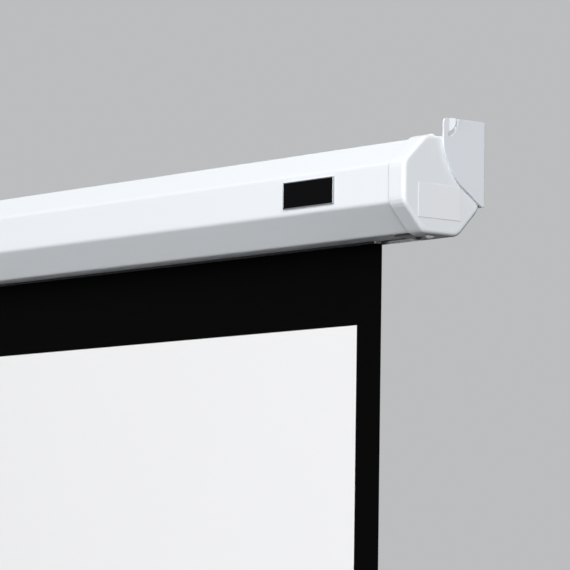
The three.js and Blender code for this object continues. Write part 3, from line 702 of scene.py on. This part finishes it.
def screw_tree():
    """Domed screws with a cross recess, one on each point, their heads along 'facing'."""
    lengths = (
        "Head Radius", "Head Height", "Shank Radius", "Shank Length",
        "Recess Width", "Recess Depth", "Recess Length",
    )
    inputs = dict.fromkeys(lengths, "Float")
    board, given = shape_tree("domed_screws", {**inputs, "Finish": "Material"})
    solver = "MANIFOLD"

    def vector(x=0.0, y=0.0, z=0.0):
        return board.add("ShaderNodeCombineXYZ", {"X": x, "Y": y, "Z": z})

    def raised(shape, height):
        """The shape moved up along Z."""
        sockets = {"Geometry": shape, "Translation": vector(z=height)}
        return board.add("GeometryNodeTransform", sockets)

    def without(shape, cutter):
        """The shape with another cut out of it."""
        sockets = {"Mesh 1": shape, "Mesh 2": cutter}
        return board.add(
            "GeometryNodeMeshBoolean", sockets, operation="DIFFERENCE", solver=solver
        )

    def united(first, second):
        """One closed shape from two that overlap."""
        group = board.add("GeometryNodeJoinGeometry", {"Geometry": second})
        board.tree.links.new(first.link, group.link.node.inputs["Geometry"])
        return board.add(
            "GeometryNodeMeshBoolean", {"Mesh 2": group}, operation="UNION", solver=solver
        )

    head_radius, head_height = given["Head Radius"], given["Head Height"]
    ball = board.add(
        "GeometryNodeMeshUVSphere",
        {"Segments": HEAD_SEGMENTS, "Rings": HEAD_RINGS, "Radius": head_radius},
    )
    flattened = vector(1.0, 1.0, head_height / head_radius)
    dome = board.add("GeometryNodeTransform", {"Geometry": ball, "Scale": flattened})
    wider, deeper = head_radius * 3, head_height * 2
    below = board.add("GeometryNodeMeshCube", {"Size": vector(wider, wider, deeper)})
    cap = without(dome, raised(below, head_height * -1))
    overlap = head_height * SHANK_IN_HEAD
    rod = board.add(
        "GeometryNodeMeshCylinder",
        {
            "Vertices": SHANK_SIDES,
            "Radius": given["Shank Radius"],
            "Depth": given["Shank Length"] + overlap,
        },
    )
    screw = united(cap, raised(rod, (given["Shank Length"] - overlap) * -0.5))
    arms = []
    for x, y in (("Recess Length", "Recess Width"), ("Recess Width", "Recess Length")):
        size = vector(given[x], given[y], given["Recess Depth"] * 2)
        arms.append(board.add("GeometryNodeMeshCube", {"Size": size}))
    screw = without(screw, raised(united(*arms), head_height))
    facing = board.add(
        "GeometryNodeInputNamedAttribute", {"Name": "facing"}, data_type="FLOAT_VECTOR"
    )
    aim = board.add("FunctionNodeAlignRotationToVector", {"Vector": facing}, axis="Z")
    turn = board.add(
        "FunctionNodeRandomValue",
        {RANDOM_LOW: 0.0, RANDOM_HIGH: math.pi, "Seed": TWIST_SEED},
        RANDOM_RESULT,
        data_type="FLOAT",
    )
    twist = board.add("FunctionNodeAxisAngleToRotation", {"Axis": (0, 0, 1), "Angle": turn})
    turned = board.add(
        "FunctionNodeRotateRotation",
        {"Rotation": aim, "Rotate By": twist},
        rotation_space="LOCAL",
    )
    placed = board.add(
        "GeometryNodeInstanceOnPoints",
        {"Points": given["Geometry"], "Instance": screw, "Rotation": turned},
    )
    return close_tree(board, placed, given["Finish"])


def coil_tree():
    """A strip or wire wound round X: its profile runs along a spiral."""
    spiral = ("Rotations", "Start Radius", "End Radius", "Height", "Resolution")
    inputs = dict.fromkeys((*spiral, "Profile Width", "Profile Height"), "Float")
    inputs.update({"Resolution": "Int", "Round": "Bool", "Place": "Vector", "Finish": "Material"})
    board, given = shape_tree("winding", inputs)
    path = board.add("GeometryNodeCurveSpiral", {name: given[name] for name in spiral})
    path = board.add("GeometryNodeSetCurveNormal", {"Curve": path}, mode="Z_UP")
    strip = board.add(
        "GeometryNodeCurvePrimitiveQuadrilateral",
        {"Width": given["Profile Height"], "Height": given["Profile Width"]},
        mode="RECTANGLE",
    )
    wire = board.add(
        "GeometryNodeCurvePrimitiveCircle",
        {"Resolution": WIRE_SIDES, "Radius": given["Profile Height"]},
        mode="RADIUS",
    )
    profile = board.add(
        "GeometryNodeSwitch",
        {"Switch": given["Round"], "False": strip, "True": wire},
        input_type="GEOMETRY",
    )
    wound = board.add(
        "GeometryNodeCurveToMesh",
        {"Curve": path, "Profile Curve": profile, "Fill Caps": True},
    )
    lying = board.add(
        "GeometryNodeTransform",
        {"Geometry": wound, "Translation": given["Place"], "Rotation": (0, math.pi / 2, 0)},
    )
    return close_tree(board, lying, given["Finish"])


# Operators


class PULLSCREEN_OT_casing(bpy.types.Operator):
    """Powder coats the casing and its end caps"""

    bl_idname = "pullscreen.casing"
    bl_label = "Casing and caps"

    def execute(self, context):
        scene = context.scene
        casing = scene.screen_casing
        dress(enamel(scene), "casing")
        soft = material("cap_enamel", powder_coat, casing.enamel, casing, edge=casing.cap_edge)
        dress(soft, *both("end_cap"))
        return {"FINISHED"}


class PULLSCREEN_OT_brackets(bpy.types.Operator):
    """Powder coats the wall brackets"""

    bl_idname = "pullscreen.brackets"
    bl_label = "Wall brackets"

    def execute(self, context):
        casing = context.scene.screen_casing
        coat = material("bracket_enamel", powder_coat, casing.bracket, casing, edge=casing.edge)
        dress(coat, *both("wall_bracket"))
        return {"FINISHED"}


class PULLSCREEN_OT_roller(bpy.types.Operator):
    """Finishes the roller, its holders and its catch"""

    bl_idname = "pullscreen.roller"
    bl_label = "Roller and catch"

    def execute(self, context):
        scene = context.scene
        hardware = scene.screen_hardware
        tube = material(
            "roller_tube", plated_steel, hardware.zinc, hardware.spangle,
            line_ways=(0.02, 1, 1), edge=0.003,
        )
        dress(tube, "roller_tube")
        dress(
            zinc(scene), *both("roller_holder"), *both("bracket_screw_lower"),
            *both("bracket_screw_upper"), "gudgeon_pin", "spindle", "ratchet_wheel",
            "pawl_upper", "pawl_lower", "pawl_pin_upper", "pawl_pin_lower", "spring_anchor",
        )
        dress(nylon(scene), "gudgeon_bush", "shaft_guide")
        dress(dark_plastic(scene), *both("roller_plug"))
        return {"FINISHED"}


class PULLSCREEN_OT_spring(bpy.types.Operator):
    """Winds the spring inside the roller"""

    bl_idname = "pullscreen.spring"
    bl_label = "Winding spring"

    def execute(self, context):
        hardware = context.scene.screen_hardware
        low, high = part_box("torsion_spring")
        radius = (high.z - low.z) / 2 - hardware.wire
        spring = grow(
            "winding_spring",
            coil_tree(),
            {
                "Rotations": float(hardware.spring_turns),
                "Start Radius": radius,
                "End Radius": radius,
                "Height": high.x - low.x - 2 * hardware.wire,
                "Resolution": 28,
                "Profile Height": hardware.wire,
                "Round": True,
                "Place": (low.x + hardware.wire, middle("spindle", 1), middle("spindle", 2)),
                "Finish": material("spring_steel", spring_wire, hardware.wire_colour),
            },
        )
        spring.data.shade_smooth()
        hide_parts("torsion_spring")
        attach(spring, "root")
        return {"FINISHED"}


class PULLSCREEN_OT_slot(bpy.types.Operator):
    """Finishes the guard, the rail and the end plates at the casing's slot, the end plates dark as
    painted shade
    """

    bl_idname = "pullscreen.slot"
    bl_label = "Slot guard and rail"

    def execute(self, context):
        scene = context.scene
        hardware = scene.screen_hardware
        # The dark colour on the end plates is painted shade under the casing
        dress(dark_plastic(scene), "slot_guard", *both("slot_end_plate"))
        dress(nylon(scene), *both("guard_end"))
        rail = material(
            "bright_rail", drawn_metal, hardware.rail, hardware.rail_worn,
            roughness=0.42, metallic=0.45,
        )
        dress(rail, "slot_rail")
        return {"FINISHED"}


class PULLSCREEN_OT_sheet(bpy.types.Operator):
    """Hangs the projection sheet with its black border"""

    bl_idname = "pullscreen.sheet"
    bl_label = "Projection sheet"

    def execute(self, context):
        scene = context.scene
        sheet = scene.screen_sheet
        low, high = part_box("screen_fabric")
        half = (high.y - low.y) / 2
        plane = (high.y + low.y) / 2
        drop = high.z - low.z
        xs = steps(low.x, high.x, sheet.columns)
        zs = steps(high.z, low.z, sheet.rows)

        def ripple(x, z):
            """How far the sheet leaves its plane, which is nothing at its top and bottom."""
            free = math.sin(math.pi * (high.z - z) / drop)
            phase = 2 * math.pi * x / sheet.ripple_span + sheet.ripple_lean * z
            return sheet.ripple * free * math.sin(phase)

        front = [[(x, plane - half + ripple(x, z), z) for x in xs] for z in zs]
        back = [[(x, plane + half + ripple(x, z), z) for x in xs] for z in reversed(zs)]
        heights = zs + zs[::-1] + zs[:1]
        piece = skin(
            "projection_sheet",
            front + back,
            cut=lambda i, j: (xs[j], heights[i]),
            finish_of=lambda row: 0 if row < sheet.rows else 1,
            materials=(
                material("sheet_front", sheet_front, sheet, top=high.z, bottom=low.z),
                cloth(scene),
            ),
        )
        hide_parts("screen_fabric")
        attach(piece, "root")
        travel = next(j for j in frame["joints"] if j["name"] == "screen_travel")["range_m"][1]
        1 - travel / drop
        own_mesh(piece)
        return {"FINISHED"}


class PULLSCREEN_OT_leader(bpy.types.Operator):
    """Winds the leader on the roller and makes the hem round its rod"""

    bl_idname = "pullscreen.leader"
    bl_label = "Leader and hem"

    def execute(self, context):
        scene = context.scene
        hardware = scene.screen_hardware
        axis_y, axis_z = middle("roller_tube", 1), middle("roller_tube", 2)
        outer = span("leader_wraps", 2) / 2 - hardware.cloth / 2
        leader = grow(
            "leader_roll",
            coil_tree(),
            {
                "Rotations": hardware.leader_turns,
                "Start Radius": span("roller_tube", 2) / 2 + hardware.cloth,
                "End Radius": outer,
                "Height": 0.0,
                "Resolution": 72,
                "Profile Width": span("leader_wraps", 0),
                "Profile Height": hardware.cloth,
                "Round": False,
                "Place": (0.0, axis_y, axis_z),
                "Finish": cloth(scene),
            },
        )
        cut = leader.data.uv_layers.new(name="cut")
        for loop in leader.data.loops:
            point = leader.data.vertices[loop.vertex_index].co
            around = math.atan2(point.z - axis_z, point.y - axis_y) * outer
            cut.data[loop.index].uv = (point.x, around)
        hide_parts("leader_wraps")
        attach(leader, "roller")
        self.make_hem(scene)
        return {"FINISHED"}

    def make_hem(self, scene):
        """A welded loop of the sheet with its rod inside."""
        sheet = scene.screen_sheet
        low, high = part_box("fabric_hem")
        y, z = middle("fabric_hem", 1), middle("fabric_hem", 2)
        outer = (high.z - low.z) / 2
        wall = outer - span("hem_rod", 2) / 2 - sheet.hem_gap
        xs = (low.x, high.x)
        sides = 40
        angles = steps(0, 2 * math.pi, sides)
        build = bmesh.new()
        layer = build.loops.layers.uv.new("cut")
        rings = []
        for radius in (outer, outer - wall):
            places = [(y + radius * math.cos(a), z + radius * math.sin(a)) for a in angles[:-1]]
            rings.append([[build.verts.new((x, *place)) for x in xs] for place in places])

        for i in range(sides):
            k = (i + 1) % sides
            start, end = outer * angles[i], outer * angles[i + 1]
            for ring in rings:
                corners = (ring[i][0], ring[i][1], ring[k][1], ring[k][0])
                places = ((xs[0], start), (xs[1], start), (xs[1], end), (xs[0], end))
                quad(build, layer, corners, places)
            for x in (0, 1):
                corners = (rings[0][i][x], rings[0][k][x], rings[1][k][x], rings[1][i][x])
                places = ((start, 0), (end, 0), (end, wall), (start, wall))
                quad(build, layer, corners, places)
        bmesh.ops.recalc_face_normals(build, faces=build.faces)
        hem = built("sheet_hem", build, cloth(scene))
        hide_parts("fabric_hem")
        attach(hem, "bottom_bar")
        dress(zinc(scene), "hem_rod")


class PULLSCREEN_OT_bottom_bar(bpy.types.Operator):
    """Finishes the bottom bar with its ends and stop pads"""

    bl_idname = "pullscreen.bottom_bar"
    bl_label = "Bottom bar"

    def execute(self, context):
        scene = context.scene
        bar = scene.screen_bar
        black = material(
            "black_bar", drawn_metal, bar.bar, bar.bar_worn, roughness=0.36, metallic=0.35
        )
        dress(black, "weight_bar")
        dress(dark_plastic(scene), *both("bar_cap"))
        dress(material("rubber", soft_rubber, bar.rubber), *both("stop_pad"))
        return {"FINISHED"}


class PULLSCREEN_OT_handle(bpy.types.Operator):
    """Finishes the pull handle and its mount"""

    bl_idname = "pullscreen.handle"
    bl_label = "Pull handle"

    def execute(self, context):
        scene = context.scene
        grip = material(
            "handle_plastic", moulded_plastic, scene.screen_bar.handle,
            roughness=0.44, grain=0.0008, edge=0.0007,
        )
        dress(grip, "pull_handle")
        dress(zinc(scene), "handle_mount", "handle_pin")
        return {"FINISHED"}


class PULLSCREEN_OT_plate_and_sticker(bpy.types.Operator):
    """Finishes the bare plate on the casing and the bare sticker on the cap"""

    bl_idname = "pullscreen.plate_and_sticker"
    bl_label = "Plate and sticker"

    def execute(self, context):
        bar = context.scene.screen_bar
        dress(material("black_gloss", gloss_plate, bar.plate), "nameplate")
        dress(material("silver_rim", bright_rim, bar.rim), "nameplate_rim")
        dress(material("sticker", sticker_stock, bar.sticker), "sticker")
        return {"FINISHED"}


class PULLSCREEN_OT_screws(bpy.types.Operator):
    """Sets the domed screws of the caps, end plates and handle mount"""

    bl_idname = "pullscreen.screws"
    bl_label = "Screws"

    def execute(self, context):
        scene = context.scene
        hardware = scene.screen_hardware
        tree = screw_tree()
        up, down = (0, 0, 1), (0, 0, -1)
        big = (hardware.cap_screw, hardware.cap_screw_head)
        small = (hardware.small_screw, hardware.small_screw_head)
        white, plated, black = enamel(scene), zinc(scene), black_steel(scene)
        for name, stem, way, (radius, height), slot, finish, body in (
            ("cap_screws_top", "cap_screw_top", up, big, "white_enamel", white, "root"),
            ("cap_screws_bottom", "cap_screw_bottom", down, big, "zinc_steel", plated, "root"),
            # The end plates' screws are black as painted shade
            ("end_plate_screws", "slot_plate_screw", down, small, "black_steel", black, "root"),
            ("mount_screws", "mount_screw", down, small, "zinc_steel", plated, "bottom_bar"),
        ):
            nodes = both(stem)
            low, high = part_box(nodes[0])
            seat = high.z - height if way == up else low.z + height
            points = [(middle(node, 0), middle(node, 1), seat) for node in nodes]
            screws = grow(
                name,
                tree,
                {
                    "Head Radius": (high.x - low.x) / 2,
                    "Head Height": height,
                    "Shank Radius": radius,
                    "Shank Length": high.z - low.z - height,
                    "Recess Width": hardware.recess_width,
                    "Recess Depth": hardware.recess_depth,
                    "Recess Length": (high.x - low.x) * hardware.recess_reach,
                    "Finish": finish,
                },
                points,
                facing=way,
            )
            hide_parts(*nodes)
            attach(screws, body)
        return {"FINISHED"}


class PULLSCREEN_OT_stage(bpy.types.Operator):
    """Lays the floor, sets the lamps and aims the camera"""

    bl_idname = "pullscreen.stage"
    bl_label = "Floor, lamps and camera"

    def execute(self, context):
        scene = context.scene
        stage = scene.screen_stage
        scene.view_settings.view_transform = "Standard"
        self.make_floor(stage)
        self.make_world(scene, stage)
        for name in ("key", "front", "rear"):
            self.make_lamp(scene, stage, name)
        self.make_camera(scene, stage)
        return {"FINISHED"}

    def make_floor(self, stage):
        """A wide pale floor that throws little light back up and fades into the backdrop."""
        made = bpy.data.materials.new("floor_paint")
        made.use_nodes = True
        board = Board(made.node_tree)
        seen = board.seen()
        dull = colour(shaded(stage.floor, stage.floor_bounce))
        paint = board.shades(board.noise(grains=3, detail=4), stage.floor, low=0.98, high=1)
        sockets = {"Base Color": board.mix(seen, dull, paint), "Roughness": 0.9}
        near = board.add("ShaderNodeBsdfPrincipled", sockets, "BSDF")
        far = board.add("ShaderNodeEmission", {"Color": colour(stage.backdrop)})
        away = board.add("ShaderNodeVectorMath", {0: board.place()}, "Value", operation="LENGTH")
        fade = seen * ((away - stage.floor_fade) / stage.floor_fade).clamped()
        surface = board.add("ShaderNodeMixShader", {0: fade, 1: near, 2: far})
        board.add("ShaderNodeOutputMaterial", {"Surface": surface})
        lay = Matrix.Translation((0, 0, cad_bounds[0].z - stage.floor_drop))
        build = bmesh.new()
        bmesh.ops.create_grid(build, x_segments=1, y_segments=1, size=60, matrix=lay)
        built("floor", build, made)

    def make_world(self, scene, stage):
        """A plain backdrop for the camera and soft light for the rest."""
        scene.world = bpy.data.worlds.new("studio")
        scene.world.use_nodes = True
        board = Board(scene.world.node_tree)
        height = board.parts(board.add("ShaderNodeTexCoord", output="Generated"))[2]
        slope, at_horizon = 2, 0.25
        upness = (height * slope + at_horizon).clamped()
        strength = stage.ambient_below + (stage.ambient - stage.ambient_below) * upness
        light = board.add("ShaderNodeBackground", {"Color": (1, 1, 1, 1), "Strength": strength})
        wall = board.add("ShaderNodeBackground", {"Color": colour(stage.backdrop)})
        shown = board.add("ShaderNodeMixShader", {0: board.seen(), 1: light, 2: wall})
        board.add("ShaderNodeOutputWorld", {"Surface": shown})

    def make_lamp(self, scene, stage, name):
        """A square lamp that points at the aim and isn't seen itself."""
        data = bpy.data.lights.new(name + "_lamp", "AREA")
        data.shape = "SQUARE"
        data.size = getattr(stage, name + "_size")
        data.energy = getattr(stage, name + "_power")
        lamp = bpy.data.objects.new(name + "_lamp", data)
        scene.collection.objects.link(lamp)
        lamp.location = getattr(stage, name + "_place")
        toward = Vector(stage.aim) - lamp.location
        lamp.rotation_euler = toward.to_track_quat("-Z", "Y").to_euler()
        lamp.visible_camera = False

    def make_camera(self, scene, stage):
        """The photograph's camera, from its turn, tilt and roll."""
        camera = bpy.data.objects.new("camera", bpy.data.cameras.new("camera"))
        scene.collection.objects.link(camera)
        camera.matrix_world = (
            Matrix.Translation(stage.camera_place)
            @ Matrix.Rotation(stage.yaw, 4, "Z")
            @ Matrix.Rotation(math.pi / 2 + stage.pitch, 4, "X")
            @ Matrix.Rotation(-stage.roll, 4, "Z")
        )
        camera.data.lens = stage.lens
        camera.data.sensor_width = 36
        camera.data.clip_start = 0.05
        camera.data.clip_end = 200
        scene.camera = camera


class PULLSCREEN_PT_panel(bpy.types.Panel):
    """Lists the screen's settings and operators"""

    bl_idname = "PULLSCREEN_PT_panel"
    bl_label = "Projector screen"
    bl_space_type = "VIEW_3D"
    bl_region_type = "UI"
    bl_category = "Screen"

    def draw(self, context):
        for label, settings in SETTINGS.items():
            box = self.layout.box()
            box.label(text=settings.__doc__)
            group = getattr(context.scene, label)
            for name in settings.__annotations__:
                box.prop(group, name)
        for operator in OPERATORS:
            self.layout.operator(operator.bl_idname)


SETTINGS = {
    "screen_sheet": SheetSettings,
    "screen_casing": CasingSettings,
    "screen_hardware": HardwareSettings,
    "screen_bar": BarSettings,
    "screen_stage": StageSettings,
}
OPERATORS = (
    PULLSCREEN_OT_casing,
    PULLSCREEN_OT_brackets,
    PULLSCREEN_OT_roller,
    PULLSCREEN_OT_spring,
    PULLSCREEN_OT_slot,
    PULLSCREEN_OT_leader,
    PULLSCREEN_OT_sheet,
    PULLSCREEN_OT_bottom_bar,
    PULLSCREEN_OT_handle,
    PULLSCREEN_OT_plate_and_sticker,
    PULLSCREEN_OT_screws,
    PULLSCREEN_OT_stage,
)


def register():
    """Adds the settings, the operators and the panel to Blender."""
    for label, settings in SETTINGS.items():
        bpy.utils.register_class(settings)
        setattr(bpy.types.Scene, label, PointerProperty(type=settings))
    for operator in OPERATORS:
        bpy.utils.register_class(operator)
    bpy.utils.register_class(PULLSCREEN_PT_panel)


def unregister():
    """Takes them out again, last first."""
    bpy.utils.unregister_class(PULLSCREEN_PT_panel)
    for operator in reversed(OPERATORS):
        bpy.utils.unregister_class(operator)
    for label, settings in reversed(SETTINGS.items()):
        delattr(bpy.types.Scene, label)
        bpy.utils.unregister_class(settings)


def main():
    """Makes every piece in order."""
    register()
    for operator in OPERATORS:
        group, name = operator.bl_idname.split(".")
        getattr(getattr(bpy.ops, group), name)()


if __name__ == "__main__":
    main()
